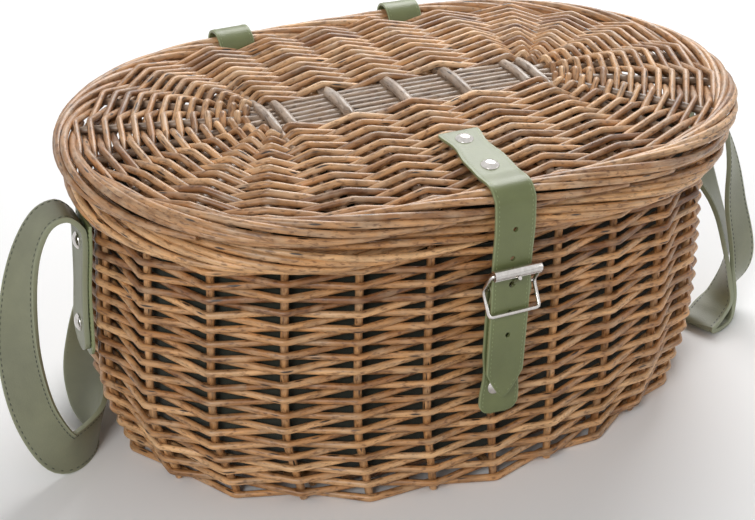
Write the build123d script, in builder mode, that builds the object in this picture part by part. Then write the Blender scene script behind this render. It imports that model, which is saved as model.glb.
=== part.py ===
from build123d import *
import math
import os

os.makedirs("parts", exist_ok=True)

# An oval willow picnic basket with a lid, leather hinge loops, a buckled closure and a carrying strap.
# X runs along the basket, the buckle is at -Y, the hinges are at +Y, and it stands on z = 0.

# plan shape of the lid, an oval of four arcs
lid_length = 500.0
lid_width = 340.0
lid_end_radius = 168.0

# the two rolled borders: rods wound round the rim, each over three bays
border_rod = 8.6
border_turn_radius = 6.4
border_roll = 300.0           # degrees from a rod's start inside the rim to its end outside it
border_reach = border_turn_radius + border_rod / 2
border_count = 24
border_bays = 3
border_inset = 5.0            # the basket's rim lies this far inside the lid's edge
rim_height = 212.0            # top of the basket's border
running_gap = 0.3

# willow of the wall
stake_count = 24
stake_thickness = 6.8
weaver_depth = 4.2
bend_share = 1.16             # a weaver crosses its stake at a slant and needs this much more room
course_count = 34
foot_courses = 2              # the basket stands on these
course_gap = 0.5

# levels of the wall: foot, belly and top, as half length, half width and end radius of the stake line
weave_swing = (stake_thickness + weaver_depth) / 2 * bend_share + running_gap
stake_to_skin = weave_swing + weaver_depth / 2
wall_levels = (
    (0.0, 224.0 - stake_to_skin, 155.0 - stake_to_skin, 130.0 - stake_to_skin),
    (55.0, 235.5 - stake_to_skin, 157.5 - stake_to_skin, 146.0 - stake_to_skin),
    (rim_height, 239.0 - stake_to_skin, 158.5 - stake_to_skin, 152.0 - stake_to_skin),
)

# fabric lining and woven bottom
lining_thickness = 1.6
lining_top = rim_height - 32.0
bottom_thickness = 6.0
bottom_stick = 6.4

# lid panel
lid_stick = 6.4
slath_rods = 5
slath_pitch = 8.4
slath_rod = 5.6
fan_start = 112.0             # the lengthwise rods spread from here
fan_step = 30.0
cross_places = (-97.0, -48.0, 0.0, 48.0, 97.0)
lid_rounds = 14
lid_weaver_width = 7.2
lid_weaver_thickness = 4.4
lid_weave_swing = 7.8         # a weaver's middle stands this far over or under the panel's middle
slath_half = 30.0
fan_half = 35.0               # a round's least distance from the middle, at the cross sticks and in the fans
panel_gap = 5.6               # between the woven panel and its border, where the hinge loops pass

# leather and fittings
leather = 2.6
strap_width = 30.0
loop_width = 28.0
loop_place = 71.0
rivet_head = 12.0
rivet_dome = 2.6
rivet_shank = 4.0
loop_clear = 0.5              # round the lid's border, wherever it passes in the loop
lid_opening = 105             # degrees

# buckle
bar_drop = 51.0               # centre bar below the rim's top
bar_height = rim_height - bar_drop
bar_wire = 3.2
roller_diameter = 7.0
bar_span = 15.8               # centre bar to roller, and to the keeper bar
buckle_half_width = 18.6
roller_length = 34.0
prong_wire = 2.8
hole_diameter = 6.0
hole_pitch = 21.5

# carrying strap
carry_width = 31.0
carry_thickness = 4.2
patch_length = 104.0
patch_drop = 26.0             # patch below the rim's top


def side_radius(half_length, half_width, end_radius):
    """Radius of the long side arcs that meet the end arcs smoothly."""
    reach = half_length - end_radius
    return (reach**2 + half_width**2 - end_radius**2) / (2 * (half_width - end_radius))


def draw_oval(half_length, half_width, end_radius):
    """Four tangent arcs in the open BuildLine."""
    side = side_radius(half_length, half_width, end_radius)
    end_x, side_y = half_length - end_radius, side - half_width
    turn = math.degrees(math.atan2(side_y, end_x))
    CenterArc((end_x, 0), end_radius, -turn, 2 * turn)
    CenterArc((0, -side_y), side, turn, 180 - 2 * turn)
    CenterArc((-end_x, 0), end_radius, 180 - turn, 2 * turn)
    CenterArc((0, side_y), side, 180 + turn, 180 - 2 * turn)


def oval_point(share, half_length, half_width, end_radius):
    """Point and outward direction on an oval, a share of the way round from the middle of the front."""
    side = side_radius(half_length, half_width, end_radius)
    end_turn = math.atan2(side - half_width, half_length - end_radius)
    side_run = side * (math.pi / 2 - end_turn)
    end_run = end_radius * end_turn
    quarter, along = divmod((share % 1) * 4, 1)
    run = along * (side_run + end_run)
    if quarter in (1, 3):
        run = side_run + end_run - run
    if run < side_run:
        angle = math.pi / 2 - run / side
        x, y = side * math.cos(angle), half_width - side + side * math.sin(angle)
    else:
        angle = end_turn - (run - side_run) / end_radius
        x = half_length - end_radius + end_radius * math.cos(angle)
        y = end_radius * math.sin(angle)
    sx, sy = ((1, -1), (1, 1), (-1, 1), (-1, -1))[int(quarter)]
    return Vector(sx * x, sy * y, 0), Vector(sx * math.cos(angle), sy * math.sin(angle), 0)


def oval_reach(start, angle, half_length, half_width, end_radius):
    """How far a line from start, at an angle in degrees, runs before it meets the oval."""
    side = side_radius(half_length, half_width, end_radius)
    end_x, side_y = half_length - end_radius, side - half_width
    near, far = 0.0, 2 * half_length
    for _ in range(40):
        middle = (near + far) / 2
        x = abs(start[0] + middle * math.cos(math.radians(angle)))
        y = abs(start[1] + middle * math.sin(math.radians(angle)))
        if math.atan2(y, x - end_x) < math.atan2(side_y, end_x):
            outside = math.hypot(x - end_x, y) > end_radius
        else:
            outside = math.hypot(x, y + side_y) > side
        near, far = (near, middle) if outside else (middle, far)
    return near


def wall_oval(height, offset=0.0):
    """Half length, half width and end radius of the stake line at a height, grown by an offset."""
    low, high = wall_levels[:2] if height < wall_levels[1][0] else wall_levels[1:]
    share = (height - low[0]) / (high[0] - low[0])
    return [a + (b - a) * share + offset for a, b in zip(low[1:], high[1:])]


def wall_point(stake, height, offset):
    """A point at a stake, an offset outward of the stake line."""
    low, high = wall_levels[:2] if height < wall_levels[1][0] else wall_levels[1:]
    share = (height - low[0]) / (high[0] - low[0])
    (start, start_out), (end, end_out) = (oval_point(stake / stake_count, *level[1:]) for level in (low, high))
    outward = (start_out * (1 - share) + end_out * share).normalized()
    return start * (1 - share) + end * share + outward * offset + Vector(0, 0, height)


def draw_round(height, depth, offsets):
    """Sketch of one closed round of weaving, which passes each stake at its own offset."""
    outer = [wall_point(i, height, o + depth / 2) for i, o in enumerate(offsets)]
    inner = [wall_point(i, height, o - depth / 2) for i, o in enumerate(offsets)]
    for edge, mode in ((outer, Mode.ADD), (inner, Mode.SUBTRACT)):
        with BuildLine() as ring:
            Polyline(*[(p.X, p.Y) for p in edge], close=True)
        make_face(ring.edges(), mode=mode)


# lining: an open fabric tub just inside the stakes, on the woven bottom
bottom_level = 13.0
lining_offset = -(stake_to_skin + 0.5)
lining_levels = (bottom_level + 0.1, wall_levels[1][0], lining_top)
with BuildPart() as lining:
    for z in lining_levels:
        with BuildSketch(Plane.XY.offset(z)):
            with BuildLine():
                draw_oval(*wall_oval(z, lining_offset))
            make_face()
    loft(ruled=True)
    for z in (lining_levels[0] + lining_thickness, *lining_levels[1:]):
        top = 1.0 if z == lining_top else 0.0
        with BuildSketch(Plane.XY.offset(z + top)):
            with BuildLine():
                draw_oval(*wall_oval(z, lining_offset - lining_thickness))
            make_face()
    loft(ruled=True, mode=Mode.SUBTRACT)
lining.part.label = "lining"

# woven bottom, raised off the floor on its sticks inside the lowest courses
with BuildPart() as bottom_weave:
    with BuildSketch(Plane.XY.offset(bottom_level - bottom_thickness)):
        with BuildLine():
            draw_oval(*wall_oval(0, -(stake_to_skin + 0.4)))
        make_face()
    extrude(amount=bottom_thickness)
    chamfer(bottom_weave.faces().sort_by(Axis.Z)[0].edges(), 1.5)
bottom_weave.part.label = "bottom_weave"

with BuildPart() as bottom_sticks:
    stick_level = bottom_level - bottom_thickness - bottom_stick / 2 - 0.1
    for x in (-120.0, -60.0, 0.0, 60.0, 120.0):
        reach = oval_reach((x, 0), 90, *wall_oval(0, -(stake_to_skin + 0.4)))
        with BuildSketch(Plane(origin=(x, -reach + 2, stick_level), z_dir=(0, 1, 0))):
            RegularPolygon(bottom_stick / 2, 6)
        extrude(amount=2 * reach - 4)
bottom_sticks.part.label = "bottom_sticks"

# stakes: upright rods from the foot to the underside of the border
rim_level = rim_height - border_reach
stake_top = rim_level - border_turn_radius - 0.9 * border_rod / 2
with BuildPart() as side_stakes:
    for i in range(stake_count):
        foot, belly, top = (wall_point(i, z, 0) for z in (1.0, wall_levels[1][0], stake_top))
        with BuildLine():
            Polyline(foot, belly, top)
        with BuildSketch(Plane(origin=foot, z_dir=belly - foot)):
            RegularPolygon(stake_thickness / 2, 8)
        sweep(transition=Transition.RIGHT)
side_stakes.part.label = "side_stakes"

# plain weaving: each course over one stake and under the next, the next course the other way
weave_top = rim_level - border_reach - running_gap - leather - 0.6
course_pitch = weave_top / course_count


def courses(first, last):
    with BuildPart() as work:
        for n in range(first, last):
            z = n * course_pitch
            offsets = [weave_swing * (-1) ** (i + n) for i in range(stake_count)]
            with BuildSketch(Plane.XY.offset(z)):
                draw_round(z + (course_pitch - course_gap) / 2, weaver_depth, offsets)
        extrude(amount=course_pitch - course_gap)
    return work.part


foot_weave = courses(0, foot_courses)
foot_weave.label = "foot_weave"
side_weave = courses(foot_courses, course_count)
side_weave.label = "side_weave"


def rolled_border(half_length, half_width, end_radius, level):
    """Rods that start inside the rim, roll over its top and end outside it three bays on."""
    rods = []
    steps = 2 * border_bays
    for i in range(border_count):
        route = []
        for j in range(steps + 1):
            point, outward = oval_point((i + j / 2) / border_count, half_length, half_width, end_radius)
            roll = math.radians(90 + border_roll / 2 - border_roll * j / steps)
            route.append(
                point
                + outward * border_turn_radius * math.cos(roll)
                + Vector(0, 0, level + border_turn_radius * math.sin(roll))
            )
        with BuildPart() as rod:
            with BuildLine():
                Polyline(*route)
            with BuildSketch(Plane(origin=route[0], z_dir=route[1] - route[0])):
                RegularPolygon(border_rod / 2, 4)
            sweep(transition=Transition.RIGHT)
        rods += rod.solids()
    return Compound(children=rods)


rim_line = (
    lid_length / 2 - border_inset - border_reach,
    lid_width / 2 - border_inset - border_reach,
    lid_end_radius - border_inset - border_reach,
)
lid_level = rim_height + 0.4 + border_reach
lid_line = (
    lid_length / 2 - border_reach,
    lid_width / 2 - border_reach,
    lid_end_radius - border_reach,
)
rim_border = rolled_border(*rim_line, rim_level)
rim_border.label = "rim_border"
lid_border = rolled_border(*lid_line, lid_level)
lid_border.label = "lid_border"

# lid panel: cross sticks pierced by the lengthwise rods, whose ends spread into a fan
panel_level = lid_level + 1.0
panel_line = [size - border_reach - panel_gap for size in lid_line]
stick_line = [size - border_reach - running_gap for size in lid_line]
eye_half = slath_pitch * (slath_rods - 1) / 2 + slath_rod / 2 + 0.5
with BuildPart() as lid_cross_sticks:
    for x in cross_places:
        reach = oval_reach((x, 0), 90, *stick_line)
        if abs(abs(x) - loop_place) < loop_width:
            reach = min(reach, oval_reach((abs(x) + 4, 0), 90, *stick_line))
        with BuildSketch(Plane.YZ.offset(x - lid_stick / 2)):
            with BuildLine():
                half = [(reach, -lid_stick / 2), (reach, lid_stick / 2), (eye_half + 5, lid_stick / 2)]
                half += [(eye_half, 5.6)]
                upper = half + [(-y, z) for y, z in reversed(half[1:])]
                outline = upper + [(-reach, -lid_stick / 2)] + [(-y, -z) for y, z in half[2:]]
                outline += [(y, -z) for y, z in reversed(half[2:])]
                Polyline(*[(y, z + panel_level) for y, z in outline], close=True)
            make_face()
            with Locations((0, panel_level)):
                Rectangle(2 * eye_half, slath_rod + 0.7, mode=Mode.SUBTRACT)
        extrude(amount=lid_stick)
lid_cross_sticks.part.label = "lid_cross_sticks"

fan = []                      # for each spread rod: its start and its direction, right-hand end
for m in range(slath_rods):
    place = m - (slath_rods - 1) / 2
    fan.append(((fan_start, slath_pitch * place), fan_step * place))
with BuildPart() as lid_long_rods:
    for start, angle in fan:
        run = oval_reach(start, angle, *stick_line)
        tip = (start[0] + run * math.cos(math.radians(angle)), start[1] + run * math.sin(math.radians(angle)))
        route = [(-tip[0], tip[1]), (-start[0], start[1]), start, tip]
        with BuildLine():
            path = [Vector(x, y, panel_level) for x, y in route]
            if angle:
                Polyline(*path)
            else:
                Line(path[0], path[-1])
        with BuildSketch(Plane(origin=path[0], z_dir=path[1] - path[0])):
            RegularPolygon(slath_rod / 2, 6)
        sweep(transition=Transition.RIGHT)
lid_long_rods.part.label = "lid_long_rods"

# where the weavers of the lid cross its sticks: (start, angle, first distance, run), in turn round the lid
crossings = []
for x in cross_places:
    crossings.append(((x, 0.0), -90.0))
fan_starts = [(side * start[0], start[1]) for start, angle in fan for side in (-1, 1)]
crossings += [(start, angle) for start, angle in fan]
crossings += [((x, 0.0), 90.0) for x in reversed(cross_places)]
crossings += [((-start[0], start[1]), 180.0 - angle) for start, angle in reversed(fan)]


def lid_round(n):
    """Corner points of one round of the lid's weaving, over one stick and under the next."""
    route = []
    for i, (start, angle) in enumerate(crossings):
        lean = math.sin(math.radians(angle)) * start[1]
        first = (fan_half if start in fan_starts else slath_half) - lean
        run = oval_reach(start, angle, *panel_line)
        distance = first + (run - first) * (n + 0.5) / lid_rounds
        swing = lid_weave_swing * (-1) ** (i + n)
        route.append(
            Vector(
                start[0] + distance * math.cos(math.radians(angle)),
                start[1] + distance * math.sin(math.radians(angle)),
                panel_level + swing,
            )
        )
    return route


weavers = []
for n in range(lid_rounds):
    route = lid_round(n)
    middle = (route[0] + route[-1]) * 0.5
    with BuildPart() as weaver:
        with BuildLine():
            Polyline(middle, *route, middle)
        with BuildSketch(Plane(origin=middle, x_dir=(0, 0, 1), z_dir=route[0] - middle)):
            Rectangle(lid_weaver_thickness, lid_weaver_width)
        sweep(transition=Transition.RIGHT)
    weavers += weaver.solids()
lid_weave = Compound(children=weavers)
lid_weave.label = "lid_weave"

def hinge_loop(place):
    """A leather band round the lid's border and the rim at the back, with room for the lid's swing."""
    side = side_radius(*lid_line)
    outward = Vector(place / side, math.sqrt(1 - (place / side) ** 2), 0)
    edge = Vector(0, lid_line[1] - side, 0) + outward * side
    along = Vector(outward.Y, -outward.X, 0)
    swept = []                # middles of the lid's border in the band, from shut to open
    for x in (place - loop_width / 2, place, place + loop_width / 2):
        slack = side - math.sqrt(side**2 - x**2)
        for turn in range(0, lid_opening + 1, lid_opening // 3):
            lift, back = slack * math.sin(math.radians(turn)), slack * math.cos(math.radians(turn))
            shift = Vector(x, lid_line[1] - back, 0) - edge
            swept.append((shift.dot(outward), lid_level + lift))
    with BuildPart() as loop:
        with BuildSketch(Plane(origin=edge, x_dir=outward, z_dir=along)):
            for size, mode in ((leather, Mode.ADD), (0, Mode.SUBTRACT)):
                with BuildSketch(mode=Mode.PRIVATE) as round_both:
                    with Locations(*swept):
                        Circle(border_reach + loop_clear + size)
                    with Locations((-border_inset, rim_level)):
                        Circle(border_reach + running_gap + size)
                    make_hull()
                add(round_both.sketch, mode=mode)
        extrude(amount=loop_width / 2, both=True)
    return loop.part


left_hinge_loop = hinge_loop(-loop_place)
left_hinge_loop.label = "left_hinge_loop"
right_hinge_loop = hinge_loop(loop_place)
right_hinge_loop.label = "right_hinge_loop"


def punch(plane, radius, sides):
    """Cut a small hole through the open part, both ways from the plane."""
    with BuildSketch(plane) as hole:
        RegularPolygon(radius, sides)
    extrude(hole.sketch, amount=12, both=True, mode=Mode.SUBTRACT)


# front fittings: distances outward of the wall at the middle of the front
skin = wall_point(0, bar_height, stake_to_skin).Y
fold_radius = bar_wire / 2 + 0.2
bar_y = skin - 0.4 - leather - fold_radius
front_y = skin - 0.4 - 2 * leather - 0.3      # outer face of the folded strap where its layers meet
tail_y = front_y - 3.4 - leather / 2          # middle of the closure strap at the buckle
roller_y = tail_y - leather / 2 - 0.4 - roller_diameter / 2
keeper_y = tail_y - leather / 2 - 0.4 - bar_wire / 2
roller_height = bar_height + bar_span
keeper_height = bar_height - bar_span

# buckle strap: leather folded round the centre bar and riveted to the basket
fold_bottom = bar_height - 61.0
chape_bottom = bar_height - 103.0
chape_reach = bar_height + 29.0                # past the fold, for the outline's upper end
slot_length = 14.0
with BuildPart() as buckle_strap:
    with BuildSketch(Plane.YZ.offset(-strap_width / 2 + 1)):
        with BuildLine():
            Polyline(
                (bar_y, bar_height + fold_radius),
                (bar_y, bar_height + fold_radius + leather),
            )
            CenterArc((bar_y, bar_height), fold_radius + leather, 0, 90)
            Polyline(
                (bar_y + fold_radius + leather, bar_height),
                (skin - 0.4, fold_bottom),
                (skin - 0.4 - leather, fold_bottom),
                (bar_y + fold_radius, bar_height),
            )
            CenterArc((bar_y, bar_height), fold_radius, 0, 90)
        make_face()
        with BuildLine():
            Line((bar_y, bar_height + fold_radius), (bar_y, bar_height + fold_radius + leather))
            CenterArc((bar_y, bar_height), fold_radius + leather, 90, 90)
            Polyline(
                (bar_y - fold_radius - leather, bar_height),
                (front_y, fold_bottom + 42),
                (front_y, chape_bottom),
                (front_y + leather, chape_bottom),
                (front_y + leather, fold_bottom + 42),
                (bar_y - fold_radius, bar_height),
            )
            CenterArc((bar_y, bar_height), fold_radius, 90, 90)
        make_face()
    extrude(amount=strap_width - 2)
    with BuildSketch(Plane.XZ.offset(-skin)):
        with Locations((0, bar_height)):
            Rectangle(prong_wire + 1.4, slot_length)
    extrude(amount=20, both=True, mode=Mode.SUBTRACT)
    with BuildSketch(Plane.XZ.offset(-skin)):
        with Locations((0, (chape_bottom + chape_reach) / 2)):
            RectangleRounded(strap_width - 2, chape_reach - chape_bottom, 9)
    extrude(amount=20, both=True, mode=Mode.INTERSECT)
    for z in (chape_bottom + 22, fold_bottom + 12):
        punch(Plane(origin=(0, skin, z), z_dir=(0, -1, 0)), rivet_shank / 2 + 0.1, 6)
buckle_strap.part.label = "buckle_strap"


def rivet(plane, length):
    """Domed rivet: the plane lies on the leather, its z axis points out of it."""
    with BuildPart() as one:
        with BuildSketch(plane):
            RegularPolygon(rivet_shank / 2, 6)
        extrude(amount=-length)
        with BuildSketch(plane):
            RegularPolygon(rivet_head / 2, 12)
        extrude(amount=rivet_dome, taper=42)
    return one.part


rivets = [
    rivet(Plane(origin=(0, front_y - 0.05, z), z_dir=(0, -1, 0)), abs(front_y - skin) - 0.3)
    for z in (chape_bottom + 22, fold_bottom + 12)
]
buckle_strap_rivets = Compound(children=[r for part in rivets for r in part.solids()])
buckle_strap_rivets.label = "buckle_strap_rivets"

# buckle: centre bar, bent sides, keeper bar and the bar that carries the roller
bore_gap = 0.06
with BuildPart() as buckle_frame:
    for side in (-1, 1):
        x = side * buckle_half_width
        with BuildLine():
            Polyline(
                (x, roller_y, roller_height), (x, bar_y, bar_height), (x, keeper_y, keeper_height)
            )
        with BuildSketch(
            Plane(origin=(x, roller_y, roller_height), z_dir=(0, bar_y - roller_y, -bar_span))
        ):
            RegularPolygon(bar_wire / 2, 8)
        sweep(transition=Transition.RIGHT)
    for y, z in ((roller_y, roller_height), (bar_y, bar_height)):
        with BuildSketch(Plane(origin=(-buckle_half_width, y, z), z_dir=(1, 0, 0))):
            Circle(bar_wire / 2)
        extrude(amount=2 * buckle_half_width)
    with BuildSketch(Plane(origin=(-buckle_half_width, keeper_y, keeper_height), z_dir=(1, 0, 0))):
        RegularPolygon(bar_wire / 2, 8)
    extrude(amount=2 * buckle_half_width)
buckle_frame.part.label = "buckle_frame"

with BuildPart() as buckle_roller:
    with BuildSketch(Plane(origin=(-roller_length / 2, roller_y, roller_height), z_dir=(1, 0, 0))):
        Circle(roller_diameter / 2)
        Circle(bar_wire / 2 + bore_gap, mode=Mode.SUBTRACT)
    extrude(amount=roller_length)
buckle_roller.part.label = "buckle_roller"

# prong: an eye round the centre bar and a wire that passes through the strap to lie on the roller
prong_rise = math.atan2(roller_diameter / 2 + prong_wire / 2 + 0.3, math.hypot(bar_span, roller_y - bar_y))
prong_lean = math.atan2(bar_span, bar_y - roller_y) - prong_rise
prong_reach = math.hypot(bar_span, roller_y - bar_y) + 1.0
prong_tip = Vector(
    0, bar_y - prong_reach * math.cos(prong_lean), bar_height + prong_reach * math.sin(prong_lean)
)
with BuildPart() as buckle_prong:
    eye_plane = Plane(origin=(-prong_wire / 2, bar_y, bar_height), z_dir=(1, 0, 0))
    with BuildSketch(eye_plane):
        Circle(bar_wire / 2 + bore_gap + 1.3)
    extrude(amount=prong_wire)
    with BuildSketch(Plane(origin=(0, bar_y, bar_height), z_dir=prong_tip - Vector(0, bar_y, bar_height))):
        RegularPolygon(prong_wire / 2 - 0.05, 8)
    extrude(amount=prong_reach)
    with BuildSketch(eye_plane.offset(-1)):
        Circle(bar_wire / 2 + bore_gap)
    extrude(amount=prong_wire + 2, mode=Mode.SUBTRACT)
buckle_prong.part.label = "buckle_prong"

# closure strap: riveted on the lid, over its border and down through the buckle
lid_top = panel_level + lid_weave_swing + lid_weaver_thickness / 2
strap_rest = lid_top + running_gap + leather / 2
over_y = -lid_line[1]
over_radius = border_reach + running_gap + leather / 2
over_top = lid_level + over_radius
strap_start = -88.0
split_height = lid_level - border_reach - 2.4
with BuildPart() as closure_strap:
    with BuildSketch(Plane.YZ.offset(-strap_width / 2)):
        with BuildLine():
            rest = Line((strap_start, strap_rest), (over_y + 12, strap_rest))
            crown = Line(rest @ 1, (over_y, over_top))
            turn = CenterArc((over_y, lid_level), over_radius, 90, 90)
            fall = Line(turn @ 1, (over_y - over_radius, split_height))
        trace(line_width=leather)
    extrude(amount=strap_width)
    for y in (-98.0, -136.0):
        punch(Plane.XY.offset(strap_rest).move(Location((0, y, 0))), rivet_shank / 2 + 0.1, 6)
closure_strap.part.label = "closure_strap"

rivets = [
    rivet(Plane.XY.offset(strap_rest + leather / 2 + 0.05).move(Location((0, y, 0))), leather + 0.2)
    for y in (-98.0, -136.0)
]
closure_strap_rivets = Compound(children=[r for part in rivets for r in part.solids()])
closure_strap_rivets.label = "closure_strap_rivets"

prong_hole = bar_height + (bar_y - tail_y) * math.tan(prong_lean)
tail_tip = bar_height - 81.0
point_length = 17.0
with BuildPart() as closure_tail:
    with BuildSketch(Plane.YZ.offset(-strap_width / 2)):
        top_y = over_y - over_radius
        half = leather / 2
        with BuildLine():
            Polyline(
                (top_y - half, split_height - 0.3),
                (tail_y - half, prong_hole + 14),
                (tail_y - half, tail_tip),
                (tail_y + half, tail_tip),
                (tail_y + half, prong_hole + 14),
                (top_y + half, split_height - 0.3),
                close=True,
            )
        make_face()
    extrude(amount=strap_width)
    with BuildSketch(Plane.XZ.offset(-tail_y)):
        with BuildLine():
            Polyline(
                (-strap_width / 2, split_height + 5),
                (-strap_width / 2, tail_tip + point_length),
                (0, tail_tip),
                (strap_width / 2, tail_tip + point_length),
                (strap_width / 2, split_height + 5),
                close=True,
            )
        make_face()
    extrude(amount=20, both=True, mode=Mode.INTERSECT)
    for n in range(-2, 3):
        hole_plane = Plane(origin=(0, tail_y, prong_hole + n * hole_pitch), z_dir=(0, -1, 0))
        punch(hole_plane, hole_diameter / 2, 8)
closure_tail.part.label = "closure_tail"

# end patches: a waisted leather backing on each end wall
patch_high = rim_height - patch_drop
patch_low = patch_high - patch_length
patch_rivets_at = (patch_low + 21.0, patch_high - 18.0)
patch_half = carry_width / 2 + 2.0
patch_x = max(wall_oval(z, stake_to_skin)[0] for z in (patch_low, patch_high)) + 0.4


def end_patch(side):
    with BuildPart() as patch:
        with BuildSketch(Plane(origin=(side * patch_x, 0, 0), x_dir=(0, 1, 0), z_dir=(side, 0, 0))):
            flip = 1 if side > 0 else -1
            with BuildLine():
                middle = (patch_low + patch_high) / 2
                Line((-patch_half, patch_high * flip), (patch_half, patch_high * flip))
                ThreePointArc(
                    (patch_half, patch_high * flip),
                    (patch_half - 5, middle * flip),
                    (patch_half - 2, (patch_low + 12) * flip),
                )
                ThreePointArc(
                    (patch_half - 2, (patch_low + 12) * flip),
                    (0, patch_low * flip),
                    (-patch_half + 2, (patch_low + 12) * flip),
                )
                ThreePointArc(
                    (-patch_half + 2, (patch_low + 12) * flip),
                    (-patch_half + 5, middle * flip),
                    (-patch_half, patch_high * flip),
                )
            make_face()
        extrude(amount=leather)
        for z in patch_rivets_at:
            punch(Plane(origin=(side * patch_x, 0, z), z_dir=(side, 0, 0)), rivet_shank / 2 + 0.1, 6)
    return patch.part


left_end_patch = end_patch(-1)
left_end_patch.label = "left_end_patch"
right_end_patch = end_patch(1)
right_end_patch.label = "right_end_patch"

# carrying strap: riveted flat on both end patches. Each stop is a place, then the way its width points.
# It drops from the left patch to the floor, runs round the back and folds once beside the right end.
carry_x = patch_x + leather + running_gap + carry_thickness / 2
back_y = prong_wire / 2 * math.sin(prong_lean) - prong_tip.Y - carry_thickness / 2
arch_stops = (                # one end, out from the patch and above its foot: up, over and down
    ((0, 0, 4), (0, 1, 0)),
    ((0, 0, 100), (0, 1, 0)),
    ((3, 0, 112), (0, 1, 0)),
    ((13, 0, 120), (-0.05, 1, 0)),
    ((26, -1, 114), (-0.15, 1, -0.05)),
    ((38, -4, 90), (-0.35, 0.93, -0.15)),
    ((44, -8, 53), (-0.55, 0.8, -0.2)),
    ((42, -13, 10), (-0.7, 0.7, -0.15)),
)
left_arch = [((-carry_x - x, y, patch_low + z), (wx, wy, wz)) for (x, y, z), (wx, wy, wz) in arch_stops]
right_arch = [((-x, y, z), (-wx, wy, wz)) for (x, y, z), (wx, wy, wz) in reversed(left_arch)]
carry_stops = [
    *left_arch,
    ((-carry_x - 34, -18, 48), (-0.82, 0.55, -0.1)),
    ((-carry_x - 22, -17, 16), (-0.93, 0.35, 0)),
    ((-carry_x - 10, -2, 2.7), (-0.93, 0.37, 0)),
    ((-250, 26, 6), (-0.97, 0.2, 0.05)),
    ((-246, 52, 26), (-0.9, 0.3, 0.25)),
    ((-234, 86, 54), (-0.7, 0.35, 0.6)),
    ((-200, 136, 84), (-0.2, 0.1, 0.97)),
    ((-120, back_y - 3, 108), (0, 0, 1)),
    ((0, back_y, 118), (0, 0, 1)),
    ((120, back_y - 3, 124), (0, 0, 1)),
    ((200, 138, 130), (0.15, -0.1, 0.98)),
    ((246, 80, 138), (0.6, -0.3, 0.74)),
    ((266, 36, 128), (0.93, 0.2, 0.3)),
    ((278, 4, 92), (0.7, 0.65, -0.2)),
    ((281, -16, 52), (0.6, 0.75, -0.2)),
    ((270, -28, 22), (0.2, 0.97, 0)),
    ((254, -36, 11), (-0.2, 0.97, 0)),
    ((239, -43, 5.7), (-0.36, 0.93, 0)),
    ((254, -37, 2.5), (-0.36, 0.93, 0)),
    ((275, -29, 9), (-0.1, 0.98, 0)),
    ((288, -24, 44), (0.6, 0.75, -0.1)),
    *right_arch,
]


def strap_corners(i):
    """The four corners of the strap's section at a stop, square to the way it runs."""
    place, width = (Vector(*v) for v in carry_stops[i])
    before = Vector(*carry_stops[max(i - 1, 0)][0])
    after = Vector(*carry_stops[min(i + 1, len(carry_stops) - 1)][0])
    along = (after - before).normalized()
    if i in (1, len(carry_stops) - 2):
        along = Vector(0, 0, 1 if i == 1 else -1)
    across = (width - along * width.dot(along)).normalized() * (carry_width / 2)
    through = along.cross(across).normalized() * (carry_thickness / 2)
    return [place + across + through, place - across + through, place - across - through,
            place + across - through]


sections = [strap_corners(i) for i in range(len(carry_stops))]
faces = [Face(Wire.make_polygon(sections[0], close=True)), Face(Wire.make_polygon(sections[-1], close=True))]
for near, far in zip(sections, sections[1:]):
    for k in range(4):
        a, b, c, d = near[k], near[(k + 1) % 4], far[(k + 1) % 4], far[k]
        faces.append(Face(Wire.make_polygon([a, b, c], close=True)))
        faces.append(Face(Wire.make_polygon([a, c, d], close=True)))
ribbon = Solid(Shell(faces))
with BuildPart() as shoulder_strap:
    add(ribbon if ribbon.volume > 0 else -ribbon)
    for side in (-1, 1):
        for z in patch_rivets_at:
            punch(Plane(origin=(side * carry_x, 0, z), z_dir=(side, 0, 0)), rivet_shank / 2 + 0.1, 6)
shoulder_strap.part.label = "shoulder_strap"


def patch_rivets(side):
    """Two rivets through the strap's end and its patch."""
    face = carry_x + carry_thickness / 2 + 0.05
    parts = [
        rivet(Plane(origin=(side * face, 0, z), z_dir=(side, 0, 0)), face - patch_x)
        for z in patch_rivets_at
    ]
    return Compound(children=[r for part in parts for r in part.solids()])


left_patch_rivets = patch_rivets(-1)
left_patch_rivets.label = "left_patch_rivets"
right_patch_rivets = patch_rivets(1)
right_patch_rivets.label = "right_patch_rivets"

for node in (
    lining.part, bottom_weave.part, bottom_sticks.part, side_stakes.part, foot_weave, side_weave,
    rim_border, lid_border, lid_cross_sticks.part, lid_long_rods.part, lid_weave,
    left_hinge_loop, right_hinge_loop, buckle_strap.part, buckle_strap_rivets, buckle_frame.part,
    buckle_roller.part, buckle_prong.part, closure_strap.part, closure_strap_rivets,
    closure_tail.part, left_end_patch, right_end_patch, shoulder_strap.part, left_patch_rivets,
    right_patch_rivets,
):
    export_step(node, f"parts/{node.label}.step")
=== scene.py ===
import random
from math import atan2, cos, hypot, pi, radians, sin, sqrt

import bpy
import numpy as np
from mathutils import Matrix, Vector


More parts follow.
